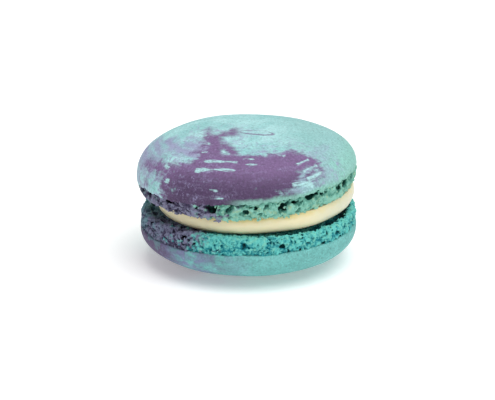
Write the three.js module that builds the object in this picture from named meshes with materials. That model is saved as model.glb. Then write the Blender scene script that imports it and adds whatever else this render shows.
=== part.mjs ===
// French macaron: two baked almond-meringue shells with a disc of buttercream pressed between them.
// Units are millimetres and +Z is up. The origin is the centre of the flat spot that the lower shell
// lies on, -Y is the front, and the upper shell sits a little askew, higher on its right (+X).
import * as THREE from "three";
import { ImprovedNoise } from "three/addons/math/ImprovedNoise.js";
import { mergeVertices } from "three/addons/utils/BufferGeometryUtils.js";

// Driving dimensions
const ROUND_STEPS = 112; // steps round each shell
const DOME_STEPS = 8; // rings on the smooth dome of a shell
const FOOT_STEPS = 9; // rings on the craggy foot of a shell
const CLEARANCE = 0.3; // gap that keeps the buttercream off both shells
const LIP = 0.45; // how far the skin's rounded edge overhangs the foot
const CREST_ROUNDING = 1.1; // how far the foot's edge draws in where it turns to the inner face

// A shell's levels are heights above the ground on its own axis: the dome's far end, the rim where
// the skin ends, and the face where the foot ends. Each level leans by so many millimetres a millimetre.
const LOWER = {
  centre: [0, 0],
  rimRadius: 22.3,
  footTaper: 0.8,
  squareness: 2.3,
  levels: { dome: 0, rim: 7.8, crest: 12.4, face: 11.9 },
  flatSpot: 0.25, // how much of the dome's end is flat, measured as height
  leanX: { dome: 0, rim: 0.018, crest: 0.028, face: 0.028 },
  leanY: { dome: 0, rim: 0, crest: 0, face: 0 },
  pits: { count: 44, seed: 71, row: 0.28, depth: 0.75 },
};
const UPPER = {
  centre: [-0.4, 0],
  rimRadius: 22.5,
  footTaper: 1.2,
  squareness: 2.4,
  levels: { dome: 28.15, rim: 19.5, crest: 15.9, face: 15.95 },
  flatSpot: 0,
  leanX: { dome: 0, rim: 0.07, crest: 0.036, face: 0.036 },
  leanY: { dome: 0, rim: 0.02, crest: 0.03, face: 0.03 },
  pits: { count: 40, seed: 23, row: 0.3, depth: 1.15 },
};
const CREAM = {
  centre: [1.3, -0.5],
  radius: 20.3,
  undercut: 2.4, // how far the underside draws in from the widest part
  shoulder: 0.3, // how far the top draws in
  widest: 0.6, // share of the height at which the disc is widest
  steps: 80,
  wave: 0.18,
};
const COLOURS = { shell: 0x93cfcb, cream: 0xe4d6ae };

const noise = new ImprovedNoise();

// Smooth noise of about -0.7 to 0.7 whose features are about size millimetres across.
function softNoise(x, y, z, size) {
  return noise.noise(x / size + 31.7, y / size + 11.3, z / size + 5.9);
}

// Rounded lumps that meet in creases, as the burst bubbles of a baked foot do.
function lumps(x, y, z, size) {
  return 2 * Math.abs(softNoise(x, y, z, size)) - 0.45;
}

// Repeatable draws between 0 and 1, from the minimal standard generator.
function drawsFrom(seed) {
  let state = seed;
  return () => {
    state = (state * 16807) % 2147483647;
    return state / 2147483647;
  };
}

// Value at a level, straight between the named levels of a shell.
function atLevel(shell, values, z) {
  const { dome, rim, crest } = shell.levels;
  const t = (z - rim) / (dome - rim);
  if (t >= 0) return THREE.MathUtils.lerp(values.rim, values.dome, Math.min(t, 1));
  const s = Math.min((z - rim) / (crest - rim), 1);
  return THREE.MathUtils.lerp(values.rim, values.crest, s);
}

// Height of a shell's inner face above the ground, over a point of the ground.
function faceHeight(shell, x, y) {
  return shell.levels.face + shell.leanX.face * x + shell.leanY.face * y;
}

// The profile of a shell, [radius, height], from the end of its dome to the middle of its inner face.
function shellProfile(shell) {
  const { dome, rim, crest, face } = shell.levels;
  const n = shell.squareness;
  const up = Math.sign(dome - rim);
  const full = Math.abs(dome - rim) + shell.flatSpot;
  const points = [[0, dome]];
  const flatRadius = shell.rimRadius * (1 - (1 - shell.flatSpot / full) ** n) ** (1 / n);
  if (shell.flatSpot > 0) points.push([flatRadius, dome]);
  const startAngle = Math.acos((flatRadius / shell.rimRadius) ** (n / 2));
  for (let i = 1; i < DOME_STEPS; i++) {
    const angle = startAngle * (1 - i / DOME_STEPS);
    points.push([
      shell.rimRadius * Math.cos(angle) ** (2 / n),
      rim + up * full * Math.sin(angle) ** (2 / n),
    ]);
  }
  points.push([shell.rimRadius, rim]);
  points.push([shell.rimRadius - 0.35 * LIP, rim - up * 0.7 * LIP]);
  for (let i = 1; i <= FOOT_STEPS; i++) {
    const share = i / FOOT_STEPS;
    const bulge = 0.75 * LIP * Math.sin(Math.PI * share);
    const taper = (shell.footTaper - LIP) * share ** 2;
    const rounding = CREST_ROUNDING * (1 - Math.sqrt(1 - share ** 8));
    const height = THREE.MathUtils.lerp(rim - up * 0.9 * LIP, crest, share);
    points.push([shell.rimRadius - LIP - taper - rounding + bulge, height]);
  }
  const crestRadius = shell.rimRadius - shell.footTaper - CREST_ROUNDING;
  points.push([crestRadius - 0.8, THREE.MathUtils.lerp(crest, face, 0.6)]);
  points.push([crestRadius - 1.8, face]);
  points.push([0, face]);
  return points;
}

// The larger burst bubbles, a loose row of them just inside the lip of the skin.
function footPits({ count, seed, row, depth }) {
  const draw = drawsFrom(seed);
  return Array.from({ length: count }, (_, i) => ({
    azimuth: ((i + 0.8 * (draw() - 0.5)) / count) * 2 * Math.PI,
    share: row + 0.3 * (draw() - 0.5),
    halfWidth: 0.55 + 0.6 * draw(),
    halfHeight: 0.45 + 0.25 * draw(),
    depth: depth * (0.45 + 0.75 * draw()),
  }));
}

// How deep the pits are at one point of the foot.
function pitDepth(pits, shell, azimuth, z) {
  const { rim, crest } = shell.levels;
  return pits.reduce((deepest, pit) => {
    const turn = Math.atan2(Math.sin(azimuth - pit.azimuth), Math.cos(azimuth - pit.azimuth));
    const across = (turn * shell.rimRadius) / pit.halfWidth;
    const along = (z - THREE.MathUtils.lerp(rim, crest, pit.share)) / pit.halfHeight;
    return Math.max(deepest, pit.depth * Math.exp(-(across ** 2 + along ** 2) / 2));
  }, 0);
}

// A closed surface of revolution about +Z with the seam and the poles merged.
function turned(profile, steps) {
  const geometry = new THREE.LatheGeometry(
    profile.map(([r, z]) => new THREE.Vector2(r, z)),
    steps,
  ).rotateX(Math.PI / 2);
  geometry.deleteAttribute("uv");
  geometry.deleteAttribute("normal");
  return mergeVertices(geometry);
}

// Moves every vertex of a geometry by a function that changes it in place.
function shaped(geometry, change) {
  const position = geometry.getAttribute("position");
  const vertex = new THREE.Vector3();
  for (let i = 0; i < position.count; i++) {
    change(vertex.fromBufferAttribute(position, i));
    position.setXYZ(i, vertex.x, vertex.y, vertex.z);
  }
  geometry.computeVertexNormals();
  return geometry;
}

// One baked shell: a smooth dome, a lip and a craggy foot, leaning as its levels say.
function shellGeometry(shell) {
  const { dome, rim, crest, face } = shell.levels;
  const pits = footPits(shell.pits);
  const profile = shellProfile(shell);
  const downwards = dome > rim;
  const geometry = turned(downwards ? profile.reverse() : profile, ROUND_STEPS);
  return shaped(geometry, (v) => {
    const radius = Math.hypot(v.x, v.y);
    const azimuth = Math.atan2(v.y, v.x);
    const footShare = THREE.MathUtils.clamp((v.z - rim) / (crest - rim), 0, 1);
    const onFootSide = radius > shell.rimRadius - shell.footTaper - CREST_ROUNDING - 0.1 ? 1 : 0;
    const craggy = onFootSide * THREE.MathUtils.smoothstep(footShare, 0.08, 0.25);
    const domeShare = THREE.MathUtils.clamp((v.z - rim) / (dome - rim), 0, 1);
    const swelling = Math.sin(Math.PI * domeShare) * 0.45 * softNoise(v.x, v.y, v.z, 13);
    const crags = 0.6 * lumps(v.x, v.y, v.z, 2.7) + 0.25 * lumps(v.x, v.y, v.z, 1.6);
    const wave = 0.3 * softNoise(v.x, v.y, dome, 7);
    const onRim = Math.exp(-(((v.z - rim) / 1.6) ** 2));
    const out = craggy * (crags - pitDepth(pits, shell, azimuth, v.z)) + swelling;
    const onFace = Math.abs(v.z - face) < 1e-4 && domeShare === 0;
    if (radius > 0 && !onFace) {
      v.x *= (radius + out) / radius;
      v.y *= (radius + out) / radius;
    }
    const level = v.z;
    v.x += shell.centre[0];
    v.y += shell.centre[1];
    v.z += v.x * atLevel(shell, shell.leanX, level) + v.y * atLevel(shell, shell.leanY, level);
    v.z += onRim * wave;
  });
}

// The buttercream: a disc with a full, rounded edge that draws in underneath.
function creamGeometry() {
  const heights = [0, 0.04, 0.12, 0.24, 0.4, CREAM.widest, 0.75, 0.88, 0.96, 1];
  const edge = heights.map((t) => {
    const below = Math.max(0, (CREAM.widest - t) / CREAM.widest);
    const above = Math.max(0, (t - CREAM.widest) / (1 - CREAM.widest));
    const drawnIn = CREAM.undercut * (1 - Math.sqrt(1 - below ** 2)) + CREAM.shoulder * above ** 2;
    return [CREAM.radius - drawnIn, t];
  });
  const geometry = turned([[0, 0], ...edge, [0, 1]], CREAM.steps);
  return shaped(geometry, (v) => {
    const swell = 1 + (CREAM.wave / CREAM.radius) * 2 * softNoise(v.x, v.y, 0, 9);
    v.x = v.x * swell + CREAM.centre[0];
    v.y = v.y * swell + CREAM.centre[1];
    const bottom = faceHeight(LOWER, v.x, v.y) + CLEARANCE;
    const top = faceHeight(UPPER, v.x, v.y) - CLEARANCE;
    v.z = THREE.MathUtils.lerp(bottom, top, v.z);
  });
}

function part(name, geometry, color, roughness) {
  const material = new THREE.MeshStandardMaterial({ color, roughness, metalness: 0 });
  const mesh = new THREE.Mesh(geometry, material);
  mesh.name = name;
  return mesh;
}

const macaron = new THREE.Group();
macaron.name = "macaron";
macaron.add(
  part("lower_shell", shellGeometry(LOWER), COLOURS.shell, 0.75),
  part("buttercream", creamGeometry(), COLOURS.cream, 0.4),
  part("upper_shell", shellGeometry(UPPER), COLOURS.shell, 0.75),
);

export default macaron;
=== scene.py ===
# %% [markdown]
# # A french macaron
# Two baked almond-meringue shells hold a disc of buttercream. Each shell has a smooth, dry skin
# and under it a foot, the craggy frill where the batter boiled out. This lesson dresses a plain
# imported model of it, whose box is kept so that the dressed macaron can be compared with it.

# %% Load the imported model
import functools
import math
import bmesh
import bpy
import numpy as np
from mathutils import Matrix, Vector, noise


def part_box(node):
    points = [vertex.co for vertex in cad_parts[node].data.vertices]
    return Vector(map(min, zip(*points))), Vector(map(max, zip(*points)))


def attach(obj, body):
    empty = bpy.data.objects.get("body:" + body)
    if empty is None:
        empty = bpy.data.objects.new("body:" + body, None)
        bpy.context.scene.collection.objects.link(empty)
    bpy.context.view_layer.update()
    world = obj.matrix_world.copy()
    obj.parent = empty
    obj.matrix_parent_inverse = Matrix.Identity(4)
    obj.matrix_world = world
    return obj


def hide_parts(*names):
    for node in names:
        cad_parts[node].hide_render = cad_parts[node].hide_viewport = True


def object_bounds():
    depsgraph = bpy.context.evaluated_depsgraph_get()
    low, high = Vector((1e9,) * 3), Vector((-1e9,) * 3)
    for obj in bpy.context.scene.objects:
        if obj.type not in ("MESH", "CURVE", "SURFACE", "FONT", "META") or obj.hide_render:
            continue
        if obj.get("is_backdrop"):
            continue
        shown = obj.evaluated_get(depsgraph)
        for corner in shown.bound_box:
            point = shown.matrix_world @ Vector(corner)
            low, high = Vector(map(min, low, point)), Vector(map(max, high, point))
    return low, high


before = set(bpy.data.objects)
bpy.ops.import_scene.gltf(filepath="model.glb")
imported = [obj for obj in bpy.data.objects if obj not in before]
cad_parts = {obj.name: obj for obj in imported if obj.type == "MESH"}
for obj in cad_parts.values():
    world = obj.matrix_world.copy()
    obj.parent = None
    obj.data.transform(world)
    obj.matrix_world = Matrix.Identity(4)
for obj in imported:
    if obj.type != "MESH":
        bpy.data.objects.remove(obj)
packed_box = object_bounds()
scene = bpy.context.scene
MM = 0.001
for node_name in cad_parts:
    low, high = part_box(node_name)
    print(node_name, "is", [round(side / MM, 1) for side in high - low], "mm")

# %% [markdown]
# ## Camera
# The photo looks a little down on the macaron from far away, so its circles are flat ellipses.
# A long lens at the same distance and height gives the same ellipses.

# %% Camera
ELEVATION = math.radians(18.3)
DISTANCE = 330 * MM
AIM = Vector((-0.2, 0, 12.4)) * MM
LENS = 116.2
NEAREST_SEEN = 10 * MM
backwards = Vector((0, -math.cos(ELEVATION), math.sin(ELEVATION)))
camera = bpy.data.objects.new("camera", bpy.data.cameras.new("camera"))
camera.data.lens = LENS
camera.data.clip_start = NEAREST_SEEN
camera.location = AIM + backwards * DISTANCE
camera.rotation_euler = (-backwards).to_track_quat("-Z", "Y").to_euler()
scene.collection.objects.link(camera)
scene.camera = camera
print("camera at", [round(side / MM) for side in camera.location], "mm")

# %% [markdown]
# ## Floor and light
# A white table under a wide, soft light from above. The light is a sun with a very large disc,
# so that the shadow is only a grey rim where the macaron touches the table. The rest comes from
# a white sky all round. The Standard view keeps the pale colours as they are mixed.

# %% Floor and light
FLOOR_SIDE = 6.0
SKY = 0.45
SUN = 2.2
SUN_FROM = Vector((0.25, -0.32, 1.0))
SUN_DISC = math.radians(56)
TABLE_WHITE = 0.9
TABLE_ROUGHNESS = 0.9
TABLE_GLOW = 0.26

floor_mesh = bpy.data.meshes.new("table_top")
half = FLOOR_SIDE / 2
corners = [(-half, -half, 0), (half, -half, 0), (half, half, 0), (-half, half, 0)]
floor_mesh.from_pydata(corners, [], [(0, 1, 2, 3)])
table_top = bpy.data.objects.new("table_top", floor_mesh)
scene.collection.objects.link(table_top)
table_top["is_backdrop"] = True
white = bpy.data.materials.new("white table")
white.use_nodes = True
shader = white.node_tree.nodes["Principled BSDF"]
shader.inputs["Base Color"].default_value = (TABLE_WHITE, TABLE_WHITE, TABLE_WHITE, 1)
shader.inputs["Roughness"].default_value = TABLE_ROUGHNESS
shader.inputs["Emission Color"].default_value = (1, 1, 1, 1)
shader.inputs["Emission Strength"].default_value = TABLE_GLOW
floor_mesh.materials.append(white)

sun = bpy.data.objects.new("sun", bpy.data.lights.new("sun", "SUN"))
sun.data.energy = SUN
sun.data.angle = SUN_DISC
sun.rotation_euler = SUN_FROM.to_track_quat("Z", "Y").to_euler()
scene.collection.objects.link(sun)

scene.world = bpy.data.worlds.new("white sky")
scene.world.use_nodes = True
sky = scene.world.node_tree.nodes["Background"]
sky.inputs["Color"].default_value = (1, 1, 1, 1)
sky.inputs["Strength"].default_value = SKY
scene.view_settings.view_transform = "Standard"
print("light comes from", [round(side, 2) for side in SUN_FROM.normalized()])

# %% [markdown]
# ## Sums as nodes
# Materials and Geometry Nodes are graphs of sums, long and hard to read when each node is
# written out. So a small class wraps a socket, and Python's own operators on it add Math nodes.
# Any other node comes from one method that takes its type, settings and sockets.


# %% Sums as nodes
def pick(sockets, key):
    """A socket by its place or, among those that are in use, by its name."""
    if isinstance(key, int):
        return sockets[key]
    return next(socket for socket in sockets if socket.name == key and socket.enabled)


def operator(operation, swapped=False):
    """A method that adds one Math node, with its two sides swapped if asked."""
    def method(wire, other):
        sides = (other, wire) if swapped else (wire, other)
        return wire.bench.maths(operation, *sides)
    return method


class Wire:
    """What comes out of a socket. Sums with it add Math nodes."""

    def __init__(self, bench, socket):
        self.bench, self.socket = bench, socket

    def out(self, key):
        """Another output of the same node."""
        return Wire(self.bench, pick(self.socket.node.outputs, key))

    def __neg__(self):
        return self * -1.0

    def __abs__(self):
        return self.bench.maths("ABSOLUTE", self)

    __add__ = __radd__ = operator("ADD")
    __mul__ = __rmul__ = operator("MULTIPLY")
    __sub__, __rsub__ = operator("SUBTRACT"), operator("SUBTRACT", swapped=True)
    __truediv__, __rtruediv__ = operator("DIVIDE"), operator("DIVIDE", swapped=True)
    __pow__ = operator("POWER")


class Bench:
    """A node tree that is being built."""

    def __init__(self, tree):
        self.tree = tree

    def node(self, kind, settings=None, sockets=None, out=0):
        """Adds a node: first its settings, then the values or links of its sockets."""
        node = self.tree.nodes.new(kind)
        for name, value in (settings or {}).items():
            setattr(node, name, value)
        for key, value in (sockets or {}).items():
            self.plug(pick(node.inputs, key), value)
        return Wire(self, pick(node.outputs, out))

    def plug(self, socket, value):
        if isinstance(value, Wire):
            self.tree.links.new(value.socket, socket)
        else:
            socket.default_value = value

    def maths(self, operation, *values):
        sockets = dict(enumerate(values))
        return self.node("ShaderNodeMath", {"operation": operation}, sockets)

    def least(self, *values):
        return functools.reduce(lambda a, b: self.maths("MINIMUM", a, b), values)

    def most(self, *values):
        return functools.reduce(lambda a, b: self.maths("MAXIMUM", a, b), values)

    def soft_least(self, a, b, rounding):
        return self.maths("SMOOTH_MIN", a, b, rounding)

    def clamp(self, value):
        return self.node("ShaderNodeClamp", None, {"Value": value})

    def ramp(self, value, low, high, start=0.0, end=1.0):
        """Goes smoothly from start to end as value goes from low to high."""
        ends = {"From Min": low, "From Max": high, "To Min": start, "To Max": end}
        smooth = {"interpolation_type": "SMOOTHSTEP"}
        return self.node("ShaderNodeMapRange", smooth, {"Value": value, **ends})

    def hypot(self, a, b):
        return self.maths("SQRT", a * a + b * b)

    def vector(self, x, y, z):
        return self.node("ShaderNodeCombineXYZ", None, {"X": x, "Y": y, "Z": z})

    def parts(self, vector):
        """The three numbers of a vector."""
        first = self.node("ShaderNodeSeparateXYZ", None, {"Vector": vector})
        return first, first.out("Y"), first.out("Z")

    def vector_sum(self, operation, a, b):
        """A sum of two vectors, or a vector scaled by a number."""
        key = "Scale" if operation == "SCALE" else 1
        return self.node("ShaderNodeVectorMath", {"operation": operation}, {0: a, key: b})

    def noise(self, vector, size, detail=1.0, roughness=0.5):
        """Soft noise round zero, mostly between -0.5 and 0.5, with features of about that size."""
        sockets = {"Vector": vector, "Scale": 1 / size, "Detail": detail, "Roughness": roughness}
        return (self.node("ShaderNodeTexNoise", None, sockets) - 0.5) * 2.0

    def cells(self, vector, size):
        """Points scattered one to a cell: how far off the nearest is, and its own random number."""
        nearest = self.node("ShaderNodeTexVoronoi", None, {"Vector": vector, "Scale": 1 / size})
        chance = self.parts(nearest.out("Color"))[0]
        return nearest * size, chance


# %% [markdown]
# ## Pieces from Geometry Nodes
# A tree gets named inputs for its sizes. It runs once on an empty object, the result is kept as a
# plain mesh and the modifier goes. The inputs are set by their identifiers, before Blender first
# looks at the object.


# %% Pieces from Geometry Nodes
def geometry_tree(title, inputs):
    """A Geometry Nodes tree with these inputs: its bench and a wire for each input."""
    tree = bpy.data.node_groups.new(title, "GeometryNodeTree")
    tree.interface.new_socket("Geometry", in_out="OUTPUT", socket_type="NodeSocketGeometry")
    for name, value in {**inputs, "Finish": None}.items():
        whole = "NodeSocketInt" if isinstance(value, int) else "NodeSocketFloat"
        kind = "NodeSocketMaterial" if value is None else whole
        socket = tree.interface.new_socket(name, in_out="INPUT", socket_type=kind)
        if value is not None:
            socket.default_value = value
    bench = Bench(tree)
    entry = tree.nodes.new("NodeGroupInput")
    return bench, {name: Wire(bench, entry.outputs[name]) for name in [*inputs, "Finish"]}


def moved(bench, geometry, offset):
    """The same mesh with its points moved."""
    return bench.node("GeometryNodeSetPosition", None, {"Geometry": geometry, "Offset": offset})


def marked(bench, geometry, name, value):
    """The same mesh with a value kept on it, for the finish to read."""
    mark = {"Geometry": geometry, "Name": name, "Value": value}
    return bench.node("GeometryNodeStoreNamedAttribute", None, mark)


def close_tree(bench, geometry, finish):
    """Scales millimetres to metres, makes instances real and sets the finish."""
    scale = {"Geometry": geometry, "Scale": (MM, MM, MM)}
    scaled = bench.node("GeometryNodeTransform", None, scale)
    real = bench.node("GeometryNodeRealizeInstances", None, {"Geometry": scaled})
    dressed = bench.node("GeometryNodeSetMaterial", None, {"Geometry": real, "Material": finish})
    leave = bench.tree.nodes.new("NodeGroupOutput")
    bench.plug(leave.inputs[0], dressed)


def plain_mesh(piece):
    """Keeps what the modifiers make as the piece's own mesh."""
    graph = bpy.context.evaluated_depsgraph_get()
    shaped = piece.evaluated_get(graph)
    mesh = bpy.data.meshes.new_from_object(shaped, preserve_all_data_layers=True, depsgraph=graph)
    finish = next(slot for slot in mesh.materials if slot)
    mesh.materials.clear()
    mesh.materials.append(finish)
    mesh.polygons.foreach_set("material_index", [0] * len(mesh.polygons))
    piece.modifiers.clear()
    piece.data = mesh
    mesh.name = piece.name
    return piece


def grow(name, tree, values):
    """A new piece from a tree, with its inputs set by name."""
    piece = bpy.data.objects.new(name, bpy.data.meshes.new(name))
    scene.collection.objects.link(piece)
    modifier = piece.modifiers.new("shape", "NODES")
    modifier.node_group = tree
    for item in tree.interface.items_tree:
        if item.in_out == "INPUT":
            modifier[item.identifier] = values[item.name]
    return plain_mesh(piece)


MENDING_ROUNDS = 3
DOUBLES = 0.0005 * MM  # points nearer than this become one


def triangles_in(mesh):
    """How many triangles the faces come to when each is cut up."""
    return len(mesh.loops) - 2 * len(mesh.polygons)


def tidy_mesh(piece):
    """Merges doubles, mends torn edges, points every face outwards and shades it smoothly."""
    mesh = bmesh.new()
    mesh.from_mesh(piece.data)
    bmesh.ops.remove_doubles(mesh, verts=mesh.verts, dist=DOUBLES)
    for _ in range(MENDING_ROUNDS):
        torn = {vert for edge in mesh.edges if not edge.is_manifold for vert in edge.verts}
        if not torn:
            break
        bmesh.ops.delete(mesh, geom=list(torn), context="VERTS")
        holes = [edge for edge in mesh.edges if edge.is_boundary]
        bmesh.ops.holes_fill(mesh, edges=holes, sides=0)
    bmesh.ops.recalc_face_normals(mesh, faces=mesh.faces)
    open_edges = sum(not edge.is_manifold for edge in mesh.edges)
    mesh.to_mesh(piece.data)
    mesh.free()
    piece.data.shade_smooth()
    print(piece.name, "has", triangles_in(piece.data), "triangles and", open_edges, "open edges")
    return piece


# %% [markdown]
# ## Sizes of the two shells
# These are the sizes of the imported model, in millimetres, because noise and bubbles are easier to
# judge at that scale. A shell's levels are heights on its own axis, and each level leans sideways
# by so many millimetres a millimetre, since the upper shell was pressed on askew.

# %% Sizes of the two shells
LIP = 0.45  # how far the skin's rounded edge overhangs the foot
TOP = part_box("upper_shell")[1].z / MM
LOWER = {
    "Rim Radius": 22.3, "Dome": 0.0, "Rim": 7.8, "Crest": 12.4, "Face": 11.9,
    "Squareness": 2.3, "Flat Spot": 0.25, "Foot Taper": 0.8, "Core Radius": 16.7,
    "Centre X": 0.0, "Lean X Rim": 0.018, "Lean X Crest": 0.028,
    "Lean Y Rim": 0.0, "Lean Y Crest": 0.0,
}
UPPER = {
    "Rim Radius": 22.5, "Dome": TOP, "Rim": 19.5, "Crest": 15.9, "Face": 15.95,
    "Squareness": 2.4, "Flat Spot": 0.0, "Foot Taper": 1.2, "Core Radius": 17.9,
    "Centre X": -0.4, "Lean X Rim": 0.07, "Lean X Crest": 0.036,
    "Lean Y Rim": 0.02, "Lean Y Crest": 0.03,
}
FINISHES = {name: bpy.data.materials.new(name) for name in (
    "upper baked skin", "lower baked skin",
    "upper baked crumb", "lower baked crumb", "buttercream")}
RIM_BAND = 3.0
RIM_WAVE = 0.45
RIM_WAVE_LENGTH = 7.0
print("feet are", [round(abs(size["Crest"] - size["Rim"]), 1) for size in (LOWER, UPPER)], "mm high")


def settle(bench, geometry, size):
    """Moves a shell's parts, made upright on the axis, to where the pressed shell has them."""
    x, y, z = bench.parts(bench.node("GeometryNodeInputPosition"))
    to_dome = bench.clamp((z - size["Rim"]) / (size["Dome"] - size["Rim"]))
    to_crest = bench.clamp((z - size["Rim"]) / (size["Crest"] - size["Rim"]))
    rim_share = 1.0 - to_dome - to_crest
    lean_x = size["Lean X Rim"] * rim_share + size["Lean X Crest"] * to_crest
    lean_y = size["Lean Y Rim"] * rim_share + size["Lean Y Crest"] * to_crest
    near_rim = bench.ramp(abs(z - size["Rim"]), RIM_BAND, 0.0)
    wave = bench.noise(bench.vector(x, y, size["Dome"]), RIM_WAVE_LENGTH) * RIM_WAVE * near_rim
    rise = (x + size["Centre X"]) * lean_x + y * lean_y + wave
    return moved(bench, geometry, bench.vector(size["Centre X"], 0.0, rise))


# %% [markdown]
# ## The skin
# The skin is the dry top of the batter, a flat dome with a rounded lip. A sphere or a lathe would
# crowd its vertices at the pole, so a square grid is bent instead: each square ring becomes a
# circle, and the rings climb a superellipse. Fine relief then follows the normals: a slow swell,
# the pebbled texture of ground almonds and a few open pinholes.

# %% The skin
SKIN = {
    "Rings": 280, "Swell": 0.35, "Pebble Size": 1.1, "Pebble Height": 0.035,
    "Grain Size": 0.5, "Grain Height": 0.018,
    "Pore Spacing": 3.2, "Pore Radius": 0.24, "Pore Depth": 0.3, "Hem": 0.1,
}


def bent_grid(bench, size, up):
    """A square grid bent into a dome that stands on its rim, up or down."""
    count = size["Rings"] + 1
    grid = {"Size X": 2.0, "Size Y": 2.0, "Vertices X": count, "Vertices Y": count}
    flat = bench.node("GeometryNodeMeshGrid", None, grid)
    u, v, _ = bench.parts(bench.node("GeometryNodeInputPosition"))
    wide = bench.maths("GREATER_THAN", abs(u), abs(v) - 1e-6)
    quarter = math.pi / 4
    turn = wide * (v / u * quarter) + (1.0 - wide) * (math.pi / 2 - u / v * quarter)
    reach = wide * u + (1.0 - wide) * v
    climb = abs(reach) * (math.pi / 2)
    radius = size["Rim Radius"] * bench.maths("SINE", climb) ** (2.0 / size["Squareness"])
    radius = radius * bench.maths("SIGN", reach)
    full = abs(size["Dome"] - size["Rim"]) + size["Flat Spot"]
    height = full * bench.most(bench.maths("COSINE", climb), 0.0) ** (2.0 / size["Squareness"])
    height = bench.least(height, abs(size["Dome"] - size["Rim"]))
    x, y = radius * bench.maths("COSINE", turn), radius * bench.maths("SINE", turn)
    place = bench.vector(x, y, size["Rim"] + up * height)
    return bench.node("GeometryNodeSetPosition", None, {"Geometry": flat, "Position": place})


def skin_tree():
    bench, size = geometry_tree("Baked skin", {**UPPER, **SKIN})
    up = bench.maths("SIGN", size["Dome"] - size["Rim"])
    dome = bent_grid(bench, size, up)
    here = bench.node("GeometryNodeInputPosition")
    z = bench.parts(here)[2]
    rise = bench.clamp((z - size["Rim"]) / (size["Dome"] - size["Rim"]))
    swell = bench.maths("SINE", rise * math.pi) * size["Swell"] * bench.noise(here, 13.0, 0.0)
    pebbles = bench.noise(here, size["Pebble Size"]) * size["Pebble Height"]
    grains = bench.noise(here, size["Grain Size"]) * size["Grain Height"]
    distance, chance = bench.cells(here, size["Pore Spacing"])
    pore_radius = size["Pore Radius"] * bench.ramp(chance, 0.3, 1.0)
    pore = bench.ramp(distance / (pore_radius + 0.001), 1.0, 0.3)
    # no relief on the flat spot that the lower shell lies on
    keep_flat = bench.ramp(rise, 0.999, 0.97)
    keep_flat = bench.most(keep_flat, bench.maths("GREATER_THAN", up, 0.0))
    height = (swell + pebbles + grains - pore * size["Pore Depth"]) * keep_flat
    normal = bench.node("GeometryNodeInputNormal")
    skin = moved(bench, dome, bench.vector_sum("SCALE", normal, height * up))
    past_rim = abs(z - size["Rim"])
    ragged = bench.noise(here, 1.1, 2.0) * size["Hem"] * bench.ramp(past_rim, 1.0, 0.0)
    skin = moved(bench, skin, bench.vector(0.0, 0.0, ragged))
    skin = marked(bench, marked(bench, skin, "pore", pore), "rise", past_rim)
    close_tree(bench, settle(bench, skin, size), size["Finish"])
    return bench.tree


baked_skin = skin_tree()
print("the skin's tree has", len(baked_skin.nodes), "nodes")

# %% [markdown]
# ## Under the skin
# The bent grid ends at the rim. Its edge is rolled under the lip by copying the rim a little
# further in at each step, and a flat core closes it, so that the skin is a solid of its own.

# %% Under the skin
# each step under the lip, in millimetres: how far in from the rim, and how far towards the foot
UNDERSIDE = ((0.1, 0.22), (0.3, 0.34), (0.6, 0.36), (1.2, 0.2), (2.4, -0.2), (4.0, -0.2))


def close_underside(piece, size):
    """Rolls the lip under, and closes the shell with a core that the foot and the cream hide."""
    up = Vector((0, 0, math.copysign(MM, size["Dome"] - size["Rim"])))
    middle = Vector((size["Centre X"] * MM, 0, 0))
    mesh = bmesh.new()
    mesh.from_mesh(piece.data)
    rim = [vert for vert in mesh.verts if vert.is_boundary]
    rim.sort(key=lambda vert: math.atan2(vert.co.y, vert.co.x - middle.x))
    spokes = [((vert.co - middle) * Vector((1, 1, 0))).normalized() * MM for vert in rim]
    rings = [rim]
    for inwards, down in UNDERSIDE:
        rings.append([
            mesh.verts.new(vert.co - outwards * inwards - up * down)
            for vert, outwards in zip(rim, spokes)])
    core = []
    for outwards in spokes:
        x, y = (middle + outwards * size["Core Radius"]).xy
        face = size["Face"] * MM + size["Lean X Crest"] * x + size["Lean Y Crest"] * y
        core.append(mesh.verts.new((x, y, face)))
    rings.append(core)
    for outer, inner in zip(rings, rings[1:]):
        for place in range(len(outer)):
            mesh.faces.new((outer[place - 1], outer[place], inner[place], inner[place - 1]))
    mesh.faces.new(core)
    mesh.to_mesh(piece.data)
    mesh.free()
    return tidy_mesh(piece)


upper_skin = grow("upper_skin", baked_skin, {
    **UPPER, **SKIN, "Hem": 0.7, "Finish": FINISHES["upper baked skin"]})
# less of the lower skin shows, so fewer rings do
lower_skin = grow("lower_skin", baked_skin, {
    **LOWER, **SKIN, "Rings": 240, "Finish": FINISHES["lower baked skin"]})
close_underside(upper_skin, UPPER)
close_underside(lower_skin, LOWER)
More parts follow.
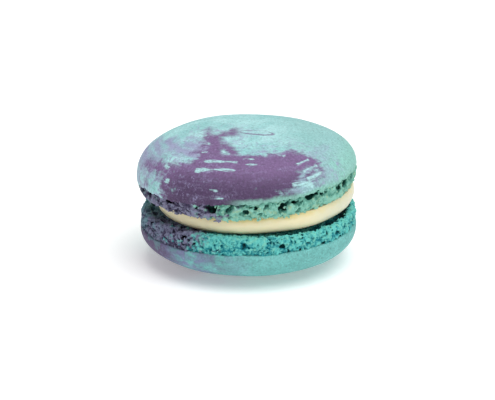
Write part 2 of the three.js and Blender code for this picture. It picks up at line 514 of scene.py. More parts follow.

# %% [markdown]
# ## The foot
# The foot is foam: steam blew bubbles through the batter, they burst at the edge and dried. A
# surface pushed in and out can't show caves with overhanging lips, so the foot is made as foam
# is. A formula says for every point of a fine grid how far it lies inside the solid, bubbles are
# taken away from it, and the surface is drawn where the formula crosses zero. The formula also
# gives how deep each point of the surface lies, which the finish uses to paint shade into the caves.

# %% The foot's sizes
CRUMB = {
    "Voxel": 0.15, "Embedded": 0.6, "Inner Radius": 16.2, "Rounding": 0.8, "Set Back": 0.1,
    "Ruffle Size": 3.0, "Ruffle Height": 0.5, "Warp Size": 1.0, "Warp": 0.9, "Over Lip": 0.0,
    "Lump Size": 1.6, "Lump Height": 0.9, "Grain Size": 0.65, "Grain Height": 0.5,
    "Dust Height": 0.3, "Bubble Spacing": 2.1, "Bubble Radius": 0.7,
    "Pore Spacing": 0.95, "Pore Radius": 0.34, "Sunk": 0.0,
    "Pits": 40, "Pit Row": 0.27, "Pit Radius": 1.0, "Pit Growth": 0.4, "Seed": 7,
    "Crest Relief": 1.0, "Smallest Island": 3000,
}
CRACK = {"Crack Width": 1.4, "Crack Sway": 0.8}
TRENCH = {
    "Trench Radius": 19.6, "Trench Width": 1.2, "Trench Depth": 1.1, "Trench Reach": 0.75,
    "Trench Sway": 0.9, "Trench Wear": 0.8,
}
UPPER_CRUMB = {**UPPER, **CRUMB, **CRACK, "Inner Radius": 17.4, "Set Back": 0.0, "Over Lip": 0.3}
LOWER_CRUMB = {
    **LOWER, **CRUMB, **TRENCH, "Pit Row": 0.45, "Pit Radius": 0.65, "Pit Growth": 0.0,
    "Lump Height": 0.65, "Grain Height": 0.45, "Dust Height": 0.45,
    "Pore Spacing": 1.05, "Pore Radius": 0.36, "Sunk": 0.7, "Ruffle Height": 0.35,
    "Crest Relief": 0.45,
}
print("the foam is worked out every", CRUMB["Voxel"], "mm")

# %% [markdown]
# ## Bubbles and grooves
# Everything in the foam answers with a distance, more than zero where there is solid, so the
# smaller of two distances takes one thing away from another. Under the upper lip the foot is torn
# by a crack, and beside the cream the lower foot has a trench. Both grooves take the same values,
# so that one tree can be built with either.

# %% Bubbles and grooves


def rubble(bench, place, spacing, height):
    """Round lumps that meet in sharp creases."""
    return (abs(bench.noise(place, spacing, 0.0)) - 0.2) * height


def holes(bench, place, spacing, radius):
    """How far outside the nearest of many scattered bubbles a point is."""
    distance, chance = bench.cells(place, spacing)
    return distance - radius * bench.ramp(chance, 0.0, 1.0, 0.25, 1.0)


def crack(bench, size, x, y, z, inside, below_face):
    """A torn seam under the lip, here a hair wide and there a cave."""
    middle = size["Rim"] + (size["Crest"] - size["Rim"]) * size["Pit Row"]
    middle = middle + bench.noise(bench.vector(x, y, 3.0), 2.6, 1.0) * size["Crack Sway"]
    width = bench.noise(bench.vector(x, y, 9.0), 2.2, 2.0) * size["Crack Width"]
    return bench.hypot(z - middle, (inside - 0.4) * 0.5) - width


def trench(bench, size, x, y, z, inside, below_face):
    """The dark groove where the cream lifts off the lower shell, wider on the right."""
    sway = bench.noise(bench.vector(x, y, z), 2.0, 1.0) * size["Trench Sway"]
    middle = size["Trench Radius"] + sway
    across = (bench.hypot(x, y) - middle) / size["Trench Width"]
    down = below_face / size["Trench Depth"]
    reach = size["Trench Reach"] + bench.ramp(x, -6.0, 9.0, -0.3, 0.3)
    reach = reach + bench.noise(bench.vector(x, y, 5.0), 2.0, 2.0) * size["Trench Wear"]
    return (bench.hypot(across, down) - reach) * 0.9


def row_of_pits(bench, size, here, bent, x):
    """How far outside the larger bubbles under the lip a point is. They grow beside the middle."""
    circle = {"Vertices": size["Pits"], "Radius": size["Rim Radius"] - LIP - 0.5}
    row = bench.node("GeometryNodeMeshCircle", None, circle)
    scatter = {"Min": (-0.9, -0.9, -0.5), "Max": (0.9, 0.9, 0.5), "Seed": size["Seed"]}
    vectors = {"data_type": "FLOAT_VECTOR"}
    scatter = bench.node("FunctionNodeRandomValue", vectors, scatter, out="Value")
    row_height = size["Rim"] + (size["Crest"] - size["Rim"]) * size["Pit Row"]
    lifted = bench.vector_sum("ADD", scatter, bench.vector(0.0, 0.0, row_height))
    points = moved(bench, row, lifted)
    squash = (0.85, 0.85, 1.4)  # space is squashed, so the bubbles come out wide and low
    squashed = bench.node("GeometryNodeTransform", None, {"Geometry": points, "Scale": squash})
    sample = {0: squashed, "Sample Position": bench.vector_sum("MULTIPLY", bent, squash)}
    to_points = {"target_element": "POINTS"}
    distance = bench.node("GeometryNodeProximity", to_points, sample, out="Distance")
    growth = bench.ramp(abs(x - 1.0), 4.0, 9.0) * bench.ramp(abs(x), 18.0, 14.0)
    growth = growth * size["Pit Growth"]
    return distance - size["Pit Radius"] * (0.65 + bench.noise(here, 2.6, 0.0) * 1.4 + growth)


# %% [markdown]
# ## From formula to surface
# A volume holds one number for every point of its grid. Volume to Mesh draws the surface where
# that number crosses a threshold, here the surface of the foam. Crumbs that float loose in the
# air are too small to keep, and they are found as islands with few faces.

# %% From formula to surface


def surface_of(bench, size, solid, up):
    """The mesh where the distance crosses zero, without loose crumbs."""
    far_end = size["Crest"] - up * 0.9
    near_end = size["Rim"] + (size["Embedded"] + 0.4) * up
    bottom, top = bench.least(far_end, near_end), bench.most(far_end, near_end)
    half_width = size["Rim Radius"] + 0.7
    count = half_width * 2.0 / size["Voxel"]
    # a density of 0.5 is the surface, halfway between air and batter
    grid = {
        "Density": solid * 0.5 + 0.5,
        "Min": bench.vector(-half_width, -half_width, bottom),
        "Max": bench.vector(half_width, half_width, top),
        "Resolution X": count, "Resolution Y": count, "Resolution Z": (top - bottom) / size["Voxel"],
    }
    block = bench.node("GeometryNodeVolumeCube", None, grid)
    surface = bench.node("GeometryNodeVolumeToMesh", None, {"Volume": block, "Threshold": 0.5})
    counted = {"Value": 1.0, "Group ID": bench.node("GeometryNodeInputMeshIsland")}
    faces = bench.node("GeometryNodeAccumulateField", {"domain": "FACE"}, counted, out="Total")
    few = bench.maths("LESS_THAN", faces, size["Smallest Island"])
    loose = {"Geometry": surface, "Selection": few}
    return bench.node("GeometryNodeDeleteGeometry", {"domain": "FACE"}, loose)


# %% The foam's formula


def crumb_tree(title, sizes, groove):
    bench, size = geometry_tree(title, sizes)
    here = bench.node("GeometryNodeInputPosition")
    x, y, z = bench.parts(here)
    radius = bench.hypot(x, y)
    up = bench.maths("SIGN", size["Dome"] - size["Rim"])
    share = bench.clamp((z - size["Rim"]) / (size["Crest"] - size["Rim"]))
    taper = (size["Foot Taper"] - LIP) * share * share
    wall = size["Rim Radius"] - LIP + 3.0 * LIP * share * (1.0 - share) - taper
    crest_radius = size["Rim Radius"] - size["Foot Taper"] - size["Rounding"]
    face = bench.ramp(radius, crest_radius - 1.8, crest_radius - 0.3, size["Face"], size["Crest"])
    ruffles = bench.noise(here, size["Ruffle Size"], 1.0) * size["Ruffle Height"]
    below_face = (z - face) * up - size["Sunk"] * bench.ramp(x, -10.0, 14.0, 0.5, 1.5)
    envelope = bench.soft_least(wall - radius, below_face, size["Rounding"])
    envelope = envelope + ruffles - size["Set Back"]

    # the bubbles are scattered in bent space, so that none is a perfect ball
    sway = {"Vector": here, "Scale": 1.0 / size["Warp Size"], "Detail": 0.0}
    sway = bench.node("ShaderNodeTexNoise", None, sway, out="Color")
    sway = bench.vector_sum("SUBTRACT", sway, (0.5, 0.5, 0.5))
    bent = bench.vector_sum("ADD", here, bench.vector_sum("SCALE", sway, size["Warp"]))
    near = bench.ramp(envelope, 1.0, 2.2, 0.0, 2.0)
    relief = rubble(bench, bent, size["Lump Size"], size["Lump Height"])
    relief = relief + rubble(bench, here, size["Grain Size"], size["Grain Height"])
    relief = relief * bench.ramp(below_face, 0.2, 1.6, size["Crest Relief"], 1.0)
    relief = relief + bench.noise(here, 0.4, 0.0) * size["Dust Height"]
    bubbles = holes(bench, bent, size["Bubble Spacing"], size["Bubble Radius"]) + near
    pores = holes(bench, bent, size["Pore Spacing"], size["Pore Radius"]) + near

    # near the lip crumbs may stick out, but not at the far left, and less where the skin is
    past_rim = (z - size["Rim"]) * up
    over_lip = bench.ramp(past_rim, -1.2, -0.2) * bench.ramp(x, -19.0, -12.0) * size["Over Lip"]
    over_lip = over_lip - bench.ramp(past_rim, 0.0, 0.5) * 0.6
    over_lip = over_lip - bench.ramp(x, -17.0, -20.5) * size["Over Lip"]
    solid = bench.soft_least(envelope + relief, wall + 0.35 + over_lip - radius, 0.3)
    torn = groove(bench, size, x, y, z, wall - radius, below_face)
    pits = row_of_pits(bench, size, here, bent, x)
    for taken_away, rounding in (bubbles, 0.12), (pores, 0.08), (pits, 0.15), (torn, 0.1):
        solid = bench.soft_least(solid, taken_away, rounding)
    covered = (size["Rim"] + size["Embedded"] * up - z) * up
    solid = bench.least(solid, covered, radius - size["Inner Radius"])
    # the depth is kept for the finish, which paints shade into the caves with it
    foam = marked(bench, surface_of(bench, size, solid, up), "depth", envelope)
    close_tree(bench, settle(bench, foam, size), size["Finish"])
    return bench.tree


upper_crumb = crumb_tree("Upper crumb", UPPER_CRUMB, crack)
lower_crumb = crumb_tree("Lower crumb", LOWER_CRUMB, trench)
print("the foam's trees have", len(upper_crumb.nodes), "and", len(lower_crumb.nodes), "nodes")

# %% [markdown]
# ## Both feet
# Volume to Mesh draws far more triangles than the flatter places need. Decimate merges the
# smallest and flattest of them until each foot is under a limit that other programs can take.

# %% Both feet
LIMIT = 195_000


def thin_out(piece):
    """Merges the smallest and flattest triangles until the piece is under the limit."""
    triangles = triangles_in(piece.data)
    if triangles > LIMIT:
        fewer = piece.modifiers.new("fewer", "DECIMATE")
        fewer.ratio = LIMIT / triangles
        plain_mesh(piece)
    return tidy_mesh(piece)


lower_foot = grow("lower_foot", lower_crumb, {
    **LOWER_CRUMB, "Finish": FINISHES["lower baked crumb"]})
upper_foot = grow("upper_foot", upper_crumb, {
    **UPPER_CRUMB, "Finish": FINISHES["upper baked crumb"]})
thin_out(lower_foot)
thin_out(upper_foot)

# %% [markdown]
# ## The buttercream
# A piped disc that was pressed flat between the shells, so its edge is full and round, draws in
# underneath and is a little wavy. It is made ring by ring, and it reaches just into both shells
# so that no air shows between them.

# %% The buttercream
CREAM_CENTRE = (1.3, -0.5)
CREAM_RADIUS = 20.3
UNDERCUT = 2.4
SHOULDER = 0.3
WIDEST = 0.6
OVERLAP = 0.2
PRESSED_IN = 0.5
UNDERSIDE_LIFT = 0.55
LIFTED_EDGE = 0.2
GAP_SIDE = math.radians(35)
SWELL = 0.36
SWELL_SIZE = 9
RIPPLE = 0.07
RIPPLE_SIZE = 2.2
CREAM_STEPS = 720
CREAM_RINGS = 48


def face_height(size, x, y):
    """How high a shell's inner face is over a point of the table."""
    return size["Face"] + size["Lean X Crest"] * x + size["Lean Y Crest"] * y


def pipe_cream():
    """The disc, ring by ring from its underside to its top."""
    rings = []
    shares = (1 - np.cos(np.linspace(0, math.pi, CREAM_RINGS))) / 2
    for share in shares:
        below = max(0, (WIDEST - share) / WIDEST)
        above = max(0, (share - WIDEST) / (1 - WIDEST))
        drawn_in = UNDERCUT * (1 - math.sqrt(1 - below ** 2)) + SHOULDER * above ** 2
        ring = []
        for turn in np.linspace(0, 2 * math.pi, CREAM_STEPS, endpoint=False):
            x, y = math.cos(turn) * CREAM_RADIUS, math.sin(turn) * CREAM_RADIUS
            swell = SWELL * noise.noise(Vector((x, y, 3.0)) / SWELL_SIZE)
            ripple = RIPPLE * noise.noise(Vector((x, y, share * 9)) / RIPPLE_SIZE)
            radius = CREAM_RADIUS - drawn_in + swell + ripple
            x = CREAM_CENTRE[0] + radius * math.cos(turn)
            y = CREAM_CENTRE[1] + radius * math.sin(turn)
            towards_gap = (1 + math.cos(turn + GAP_SIDE)) / 2
            at_edge = max(0, radius / CREAM_RADIUS - (1 - LIFTED_EDGE)) / LIFTED_EDGE
            lift = UNDERSIDE_LIFT * towards_gap * at_edge
            low = face_height(LOWER, x, y) - PRESSED_IN + lift
            high = face_height(UPPER, x, y) + OVERLAP
            ring.append((x * MM, y * MM, (low + (high - low) * share) * MM))
        rings.append(ring)
    verts = [vert for ring in rings for vert in ring]
    steps = range(CREAM_STEPS)
    faces = []
    for start in range(0, len(verts) - CREAM_STEPS, CREAM_STEPS):
        for step in steps:
            here, there = start + step, start + (step + 1) % CREAM_STEPS
            faces.append((here, there, there + CREAM_STEPS, here + CREAM_STEPS))
    faces += [tuple(steps), tuple(len(verts) - 1 - step for step in steps)]
    mesh = bpy.data.meshes.new("cream_disc")
    mesh.from_pydata(verts, [], faces)
    mesh.materials.append(FINISHES["buttercream"])
    piece = bpy.data.objects.new("cream_disc", mesh)
    scene.collection.objects.link(piece)
    return tidy_mesh(piece)


cream_disc = pipe_cream()

# %% [markdown]
# ## Colours and places
# The batter was turquoise with some purple streaked into it before piping. Colours are given as a
# screen shows them. All patterns read the piece's own coordinates in millimetres. Batter is piped
# and swirled round the middle, so most patterns also need how far a point is from the axis and
# how far round it is from the front.

# %% Colours


def srgb(red, green, blue):
    """A colour as a screen shows it, 0 to 255, as the linear light that shaders use."""
    def linear(level):
        level = level / 255
        return level / 12.92 if level <= 0.04045 else ((level + 0.055) / 1.055) ** 2.4
    return (linear(red), linear(green), linear(blue), 1.0)


print("mid grey on screen is", round(srgb(128, 128, 128)[0], 3), "of full light")
TURQUOISE = srgb(150, 206, 206)
DULL_TURQUOISE = srgb(146, 196, 194)
PALE_TURQUOISE = srgb(178, 226, 227)
SEA_GREEN = srgb(136, 196, 180)
PURPLE = srgb(124, 98, 141)
# deep purple is a darker patch colour and also the painted shade on the dome's low front
DEEP_PURPLE = srgb(78, 58, 92)
LAVENDER = srgb(154, 150, 188)

# %% The bench of a material
USUAL_RADIUS = 18.0  # about where most of the strokes lie


class Finish(Bench):
    """The bench of one material, with the places that its patterns read, in millimetres."""

    def __init__(self, name, pole=0.0):
        self.name = name
        material = FINISHES[name]
        material.use_nodes = True
        super().__init__(material.node_tree)
        self.shader = material.node_tree.nodes["Principled BSDF"]
        coordinates = self.node("ShaderNodeTexCoord", out="Object")
        self.here = self.vector_sum("SCALE", coordinates, 1 / MM)
        x, y, self.z = self.parts(self.here)
        self.stand_at(x, y)
        self.reach = self.radius + abs(self.z - pole)

    def stand_at(self, x, y):
        """Where the strokes are read: how far from the axis and how far round from the front."""
        self.x, self.y = x, y
        self.radius = self.hypot(x, y)
        self.turn = self.maths("ARCTAN2", x, -y)

    def set(self, **values):
        """Sets or links the shader's sockets."""
        for name, value in values.items():
            self.plug(pick(self.shader.inputs, name.replace("_", " ")), value)

    def mix(self, share, first, second):
        """From the first colour to the second as share goes from 0 to 1."""
        sockets = {"Factor": share, "A": first, "B": second}
        return self.node("ShaderNodeMix", {"data_type": "RGBA"}, sockets, out="Result")

    def attribute(self, name):
        return self.node("ShaderNodeAttribute", {"attribute_name": name}, out="Fac")

    def spots(self, size, detail=1.0, roughness=0.5):
        """Noise with features of about that size, the same in every direction."""
        return self.noise(self.here, size, detail, roughness)

    def bands(self, shift, size):
        """Noise in slanting bands: a sum makes one number of the place, so only a diagonal counts."""
        return self.noise(self.here + shift, size, 3.0, 0.6)

    def swirl(self, length, width, detail=2.0):
        """Noise drawn out round the axis, as batter is by piping."""
        around = USUAL_RADIUS / length
        x, y = self.x / self.radius * around, self.y / self.radius * around
        return self.noise(self.vector(x, y, self.reach / width), 1.0, detail, 0.6)

    def smudge(self, amount, width):
        """Drags the places that strokes read round the axis in thin rings, as a dry brush would."""
        drag = self.swirl(7.2, width) * (amount / USUAL_RADIUS)
        wobble = self.spots(2.2, 3.0, 0.6) * 1.5
        sway = self.bands(40.0, 2.2) * 1.5
        self.stand_at(self.x - self.y * drag + wobble, self.y + self.x * drag + sway)

    def arc(self, radius, start, end, width):
        """How far inside a stroke round the axis a point is. Turns are in degrees."""
        beyond = self.most(math.radians(start) - self.turn, self.turn - math.radians(end), 0.0)
        return width - self.hypot(self.radius - radius, beyond * radius)

    def line(self, start, end, width):
        """How far inside a straight stroke a point is."""
        along = end[0] - start[0], end[1] - start[1]
        length = math.hypot(*along)
        right, back = self.x - start[0], self.y - start[1]
        share = self.clamp((right * along[0] + back * along[1]) / length ** 2)
        return width - self.hypot(right - share * along[0], back - share * along[1])

    def loop(self, centre, tilt, length, width):
        """How far outside an ellipse a point is. Its length and width are half of each."""
        cosine, sine = math.cos(math.radians(tilt)), math.sin(math.radians(tilt))
        right, back = self.x - centre[0], self.y - centre[1]
        along = (right * cosine + back * sine) / length
        across = (back * cosine - right * sine) / width
        share = self.hypot(along, across)
        return (share - 1.0) * share / self.hypot(along / length, across / width)

    def mark(self, turn, height, half_length, half_width):
        """How far inside a short level mark on the steep side a point is."""
        along = self.most(abs(self.turn - math.radians(turn)) * self.radius - half_length, 0.0)
        return half_width - self.hypot(along, self.z - height)

    def strokes(self, arcs=(), lines=(), marks=()):
        """How far inside the nearest of some strokes a point is."""
        drawn = [self.arc(*arc) for arc in arcs] + [self.line(*line) for line in lines]
        return self.most(*drawn, *[self.mark(*mark) for mark in marks])

    def bump(self, height, distance):
        return self.node("ShaderNodeBump", None, {"Height": height, "Distance": distance * MM})

    def describe(self):
        print(self.name, "is made of", len(self.tree.nodes), "nodes")


# %% [markdown]
# ## The upper skin's marbling
# On top the purple lies as a broad band along the front rim, with an arm that curls to the middle
# and thin turquoise streaks inside it. That is drawn as brush strokes: arcs round the axis and
# short lines, each giving how far inside it a point is. Streaky noise added before the edge is
# cut makes the edges ragged, and finer noise leaves dry specks.

# %% The upper skin's strokes
# an arc is a radius, the turns in degrees where it starts and ends, and half its width
# a line is where it starts and ends as seen from above, and half its width
# a low mark is a turn, a height above the table, half its length and half its width
PURPLE_ARCS = (
    (18.9, -34, 18, 4.2), (17.7, 8, 32, 3.0), (19.1, 26, 42, 1.4), (20.8, 33, 43, 1.0),
    (20.6, -58, -28, 1.7), (21.3, -72, -54, 0.9), (22.2, -45, 12, 2.0),
)
PURPLE_LINES = (
    ((-6.8, -15.0), (-7.2, -6.6), 2.3), ((-8.0, -6.0), (-8.2, -1.2), 0.8),
    ((-6.6, -5.9), (-3.4, -4.4), 1.5), ((-3.0, -5.0), (-3.0, -2.4), 1.25),
    ((-4.8, -10.5), (-2.8, -14.0), 1.2),
)
HAZE_ARCS = (
    (16.4, -80, -38, 1.2), (18.7, -96, -66, 0.8), (21.2, -104, -64, 1.3),
    (14.4, -58, -36, 1.6), (21.2, 26, 48, 1.0), (17.4, 44, 66, 0.5), (12.5, -70, -46, 0.4),
)
BARE_ARCS = ((23.0, 19, 60, 1.2), (22.8, -75, -48, 0.7))
BARE_LINES = (((-15.6, -10.6), (-11.0, -13.6), 1.9),)
CURL = {"centre": (1.7, -4.2), "tilt": -11, "length": 3.3, "width": 1.2}
PALE_STROKES = (
    ((-8.4, -15.7), (-5.5, -16.6), 0.34), ((-5.5, -16.6), (-2.4, -17.2), 0.18),
    ((-10.1, -17.2), (-7.0, -18.2), 0.28), ((-6.8, -18.2), (-2.7, -19.1), 0.16),
    ((-7.9, -9.0), (-7.8, -9.6), 0.3), ((-4.3, -7.6), (-3.9, -8.2), 0.45),
    ((-5.0, -13.2), (-4.8, -13.7), 0.3), ((6.8, -14.6), (7.1, -14.3), 0.2),
    ((-0.5, -17.9), (1.6, -17.8), 0.04), ((-0.9, -16.3), (0.9, -16.2), 0.04),
    ((9.6, -16.2), (11.6, -14.2), 0.12), ((10.8, -17.2), (13.3, -14.9), 0.12),
    ((11.6, -18.0), (14.2, -15.8), 0.2), ((8.6, -20.0), (12.4, -18.2), 0.12),
    ((-16.3, -12.2), (-15.6, -13.2), 0.25), ((-9.0, -12.6), (-8.2, -12.9), 0.2),
)
LOW_MARKS = ((-18, 21.3, 0.6, 0.1), (-16, 19.9, 1.2, 0.0), (-46, 21.4, 0.1, 0.4))
# the colour of the dark almond specks, and of the painted shade in the pinholes
DARK_SPECKS_AND_PINHOLE_SHADE = srgb(60, 62, 72)
print(len(PURPLE_ARCS) + len(PURPLE_LINES), "purple strokes and", len(PALE_STROKES), "pale ones")

# %% The upper skin's marbling


def skin_finish(name, pole):
    """What both skins share: the finish, a dry sheen and a fine grain."""
    finish = Finish(name, pole)
    grain = finish.spots(0.35, 2.0, 0.6)
    dust = finish.spots(0.14, 1.0)
    finish.set(Roughness=finish.ramp(grain, -0.3, 0.3, 0.62, 0.78), Specular_IOR_Level=0.35,
               Normal=finish.bump(grain + dust * 0.7, 0.05))
    return finish, grain, dust


def speckled(finish, colour, grain, dust):
    """Darkens the pinholes with painted shade and adds the tiny lighter and darker specks of ground
    almonds.
    """
    specks = finish.spots(0.45, 1.0)
    colour = finish.vector_sum("SCALE", colour, 1.0 + specks * 0.28 + grain * 0.22 + dust * 0.2)
    colour = finish.mix(finish.ramp(dust - specks, 0.35, 0.9, 0.0, 0.5), colour, DARK_SPECKS_AND_PINHOLE_SHADE)
    # painted shade in the pinholes
    return finish.mix(finish.attribute("pore") * 0.7, colour, DARK_SPECKS_AND_PINHOLE_SHADE)


def paint_upper_skin():
    finish, grain, dust = skin_finish("upper baked skin", TOP)
    streaks = finish.swirl(9.0, 0.7)
    mist = finish.swirl(6.0, 1.5, 3.0)
    patches = finish.spots(2.2, 4.0, 0.65)
    # painted shade: the low front of the dome, turned away from the light, goes towards deep purple
    low_front_shade = finish.ramp(finish.radius, 18.8, 23.0) * finish.ramp(finish.y, -12.0, -18.5)
    pale = finish.strokes(lines=PALE_STROKES, marks=LOW_MARKS)
    pale = pale + finish.swirl(1.8, 0.3, 1.0) * 0.5 + patches * 0.5
    pale = finish.ramp(pale, -0.22, 0.22, 0.0, 0.85)
    thickness = finish.ramp(finish.y, -3.6, -5.0, 0.05, 0.3) + patches * 0.3
    curl = finish.ramp(thickness - abs(finish.loop(**CURL) + patches * 0.5), -0.35, 0.2, 0.0, 0.75)
    right_rim = finish.ramp(finish.x + patches * 4.0, 11.0, 19.0)
    right_rim = right_rim * finish.ramp(finish.radius, 17.0, 22.0)

    # from here on every place is smudged, so the purple's strokes come out streaky
    finish.smudge(2.0, 0.8)
    edge = finish.strokes(PURPLE_ARCS, PURPLE_LINES) + patches * 2.0 + streaks * 0.6 + grain * 0.5
    haze = finish.strokes(HAZE_ARCS)
    bare = finish.strokes(BARE_ARCS, BARE_LINES)
    edge = finish.least(edge, 1.5 - bare * 1.6 + streaks * 0.8)
    blurred = finish.ramp(finish.y, -15.0, -5.0, 0.0, 0.6)
    solid = finish.ramp(edge, -0.5 - blurred, 1.1 + blurred)
    haze = finish.ramp(haze + mist * 2.2, -1.6, 1.4)
    veil = finish.ramp(edge, -5.0, 0.5) * finish.ramp(mist + patches * 0.7, -0.15, 0.6)
    haze = finish.most(haze, veil) * finish.ramp(finish.x, 4.0, 14.0, 0.85, 0.4)
    flecks = finish.ramp(finish.spots(1.3, 4.0, 0.7), -0.1, 0.5)
    flecks = flecks * finish.ramp(edge, -9.0, -1.0) * finish.ramp(finish.y, 2.0, -8.0)
    haze = finish.most(haze, flecks)

    cloud = finish.ramp(finish.spots(5.0, 3.0) + mist * 0.4, -0.35, 0.35)
    cloud = cloud * finish.ramp(finish.y, -19.0, -12.0, 0.35, 1.0)
    colour = finish.mix(cloud, TURQUOISE, PALE_TURQUOISE)
    colour = finish.mix(finish.ramp(finish.x, 2.0, 14.0, 0.0, 0.8), colour, DULL_TURQUOISE)
    colour = finish.mix(right_rim * 0.6, colour, SEA_GREEN)
    colour = finish.mix(haze, colour, LAVENDER)
    # deep purple where random patches are and, as painted shade, on the low front
    deep_patches_and_shade = finish.most(low_front_shade, finish.ramp(patches, 0.1, 0.6, 0.0, 0.25))
    violet = finish.mix(deep_patches_and_shade, PURPLE, DEEP_PURPLE)
    violet = finish.mix(finish.ramp(mist + grain * 0.5, 0.0, 0.7, 0.0, 0.4), violet, LAVENDER)
    frost = finish.ramp(finish.spots(0.9, 3.0, 0.7), 0.05, 0.5)
    frost = frost * finish.ramp(finish.x, -4.0, -12.0, 0.15, 0.8)
    violet = finish.mix(frost, violet, LAVENDER)
    dry = finish.ramp(patches + streaks + grain * 0.3, 0.3, 0.75, 0.0, 0.35) * (1.0 - low_front_shade)
    colour = finish.mix(solid * (1.0 - dry), colour, violet)
    colour = finish.mix(curl, colour, PURPLE)
    colour = finish.mix(pale, colour, PALE_TURQUOISE)
    hem = finish.ramp(finish.attribute("rise") + patches * 0.8, 1.0, 0.15)
    hem = hem * finish.ramp(finish.x, -5.5, 0.0)
    colour = finish.mix(hem * 0.85, colour, SEA_GREEN)
    finish.set(Base_Color=speckled(finish, colour, grain, dust))
    finish.describe()


paint_upper_skin()

# %% [markdown]
# ## The lower skin
# The lower shell shows only its lower rim. Its left half is lavender and blue-grey where the two
# batters mixed, and its right half is nearly plain turquoise.

# %% The lower skin
MIXED_BATTER = srgb(126, 138, 172), srgb(94, 80, 114)
LOWER_TURQUOISE = srgb(104, 174, 170), srgb(118, 190, 186)


def left_side(finish, edge, softness, far_left):
    """1 on the purple side of a shell and 0 past a ragged edge, so many degrees from the front."""
    ragged = finish.spots(3.2, 2.0, 0.6) * 40
    ragged = ragged + finish.spots(0.9, 1.0) * 18
    degrees = finish.turn * (180 / math.pi) + ragged
    front = finish.ramp(degrees, edge + softness, edge - softness)
    in_front = finish.ramp(finish.y + ragged * 0.3, 12.0, -2.0)
    return front * finish.ramp(degrees, -86.0, -62.0, far_left, 1.0) * in_front


def paint_lower_skin():
    finish, grain, dust = skin_finish("lower baked skin", 0.0)
    streaks = finish.swirl(5.0, 2.0)
    patches = finish.spots(2.4, 4.0, 0.65)
    mottle = finish.clamp(0.55 + patches * 2.4 + streaks * 1.2 + grain * 0.4)
    degrees = finish.turn * (180 / math.pi) + patches * 30
    in_front = finish.ramp(finish.y + patches * 14.0 + streaks * 8.0, 14.0, -4.0)
    left = finish.ramp(degrees, 10.0, -26.0) * in_front
    far_left = finish.ramp(degrees, -34.0, -58.0) * in_front
    amount = finish.least(left * mottle + far_left * 0.7, 1.0)
    back = finish.ramp(finish.spots(9.0, 2.0) + streaks * 0.3, 0.15, 0.45, 0.0, 0.6)
    amount = finish.most(amount, back * finish.ramp(finish.y, 2.0, 10.0))
    plum = finish.clamp(finish.bands(20.0, 3.0) * 2.4 + 0.3 + far_left)
    mixed = finish.mix(plum, *MIXED_BATTER)
    cloud = finish.ramp(finish.spots(3.0, 3.0) + grain * 0.4, -0.35, 0.35)
    colour = finish.mix(amount, finish.mix(cloud, *LOWER_TURQUOISE), mixed)
    finish.set(Base_Color=speckled(finish, colour, grain, dust))
    finish.describe()


paint_lower_skin()

# %% [markdown]
# ## The crumb
# Broken foam is painted pale on its outer grains and in dark painted shade down in its bubbles.
# The foam's formula left on the mesh how deep each point lies, and that takes the colour down.
# Grains are cells of scattered points, and some of them get a tint of their own.

# %% The crumb
# each set runs from the outer grains inwards, painted lit, middle and shaded cave, then the tinted
# grains
UPPER_TEAL = srgb(138, 202, 184), srgb(90, 156, 140), srgb(14, 78, 70), srgb(166, 188, 140)
UPPER_PURPLE = srgb(132, 131, 158), srgb(68, 60, 90), srgb(26, 18, 38), srgb(116, 142, 162)
LOWER_TEAL = srgb(102, 201, 194), srgb(10, 128, 142), srgb(4, 60, 62), srgb(136, 206, 180)
LOWER_PURPLE = srgb(124, 126, 154), srgb(60, 54, 82), srgb(16, 12, 24), srgb(110, 138, 154)


def paint_crumb(name, rim, edge, far_left, teal, purple):
    """A foot's finish, purple to the left of an edge that is given in degrees from the front."""
    finish = Finish(name)
    # how deep a point lies in the foam, used for painted shade in the caves
    depth = finish.attribute("depth")
    chance = finish.cells(finish.here, 0.55)[1]
    fine = finish.spots(0.3, 2.0, 0.6)
    stain = finish.spots(1.3, 3.0, 0.6)
    left = left_side(finish, edge, 7, far_left)
    back = finish.ramp(finish.spots(8.0, 2.0), 0.12, 0.3)
    left = finish.most(left, back * finish.ramp(finish.y, 3.0, 9.0))
    lit, middle, cave, tinted = (finish.mix(left, *pair) for pair in zip(teal, purple))
    lit = finish.mix(finish.ramp(chance, 0.6, 1.0) * 0.5, lit, tinted)
    # painted shade: a band of the foot next to the skin's lip goes darker
    lip_shade = finish.ramp(abs(finish.z - finish.x * 0.03 - rim), 3.4, 0.8)
    # the deeper a point lies and the nearer the lip, the more painted shade takes the colour towards
    # middle and cave; fine, chance and stain vary the tone at random, and left makes the purple side
    # darker
    level = depth * 1.2 + fine * 0.5 + (0.5 - chance) * 0.15 + stain * 0.8
    level = level + lip_shade * 0.25 + left * 0.12 - 0.1
    colour = finish.mix(finish.ramp(level, -0.2, 0.5), lit, middle)
    colour = finish.mix(finish.ramp(level, 0.45, 1.2), colour, cave)
    finish.set(Base_Color=colour, Roughness=finish.ramp(fine, -0.3, 0.3, 0.75, 0.9),
               Normal=finish.bump(fine, 0.12), Specular_IOR_Level=0.3)
    finish.describe()


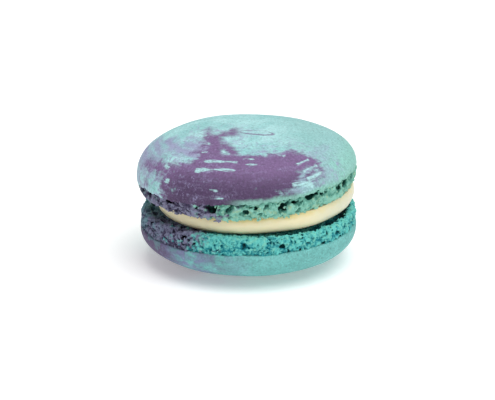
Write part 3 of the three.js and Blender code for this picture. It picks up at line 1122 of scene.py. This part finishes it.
paint_crumb("upper baked crumb", UPPER["Rim"], -16, 0.5, UPPER_TEAL, UPPER_PURPLE)
paint_crumb("lower baked crumb", LOWER["Rim"], -32, 0.7, LOWER_TEAL, LOWER_PURPLE)

# %% [markdown]
# ## The buttercream's finish
# Smooth and slightly waxy. Light goes a little way into it, and it is yellower along the top,
# just under the upper shell.

# %% The buttercream's finish
IVORY = srgb(235, 225, 187)
COOL_IVORY = srgb(216, 216, 188)
TOP_EDGE_IVORY = srgb(230, 210, 146)


def paint_cream():
    finish = Finish("buttercream")
    below = face_height(UPPER, finish.x, finish.y) - finish.z
    streaks = finish.spots(2.0, 2.0)
    # yellower along the top edge, just under the upper shell, less so on the right
    edge = finish.ramp(below + streaks * 0.8, 1.2, 0.1) * finish.ramp(finish.x, 6.0, 18.0, 1.0, 0.3)
    plain = finish.mix(finish.ramp(finish.x, 9.0, 20.0), IVORY, COOL_IVORY)
    colour = finish.mix(edge, plain, TOP_EDGE_IVORY)
    finish.set(Base_Color=colour, Roughness=finish.ramp(streaks, -0.4, 0.4, 0.4, 0.5),
               Normal=finish.bump(finish.spots(0.8, 2.0), 0.04),
               Subsurface_Weight=0.25, Subsurface_Radius=(1.0, 0.75, 0.4),
               Subsurface_Scale=1.2 * MM, Specular_IOR_Level=0.4)
    finish.describe()


paint_cream()

# %% [markdown]
# ## Hand over
# Each piece rides on the body of the imported model and stands in for the plain solid it was
# made from. The box is measured again: real crumbs may stick out a little, but the macaron must
# keep the size that other scenes count on.

# %% Hand over
for piece, node_name, slot_name in (
        (upper_skin, "upper_shell", "shell"), (upper_foot, "upper_shell", "shell"),
        (lower_skin, "lower_shell", "shell"), (lower_foot, "lower_shell", "shell"),
        (cream_disc, "buttercream", "buttercream")):
    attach(piece, "root")
    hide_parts(node_name)
dressed_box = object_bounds()
sides = zip("xyz", packed_box[1] - packed_box[0], dressed_box[1] - dressed_box[0])
for side, before, after in sides:
    print(side, "was", round(before / MM, 2), "mm and is", round(after / MM, 2), "mm now")
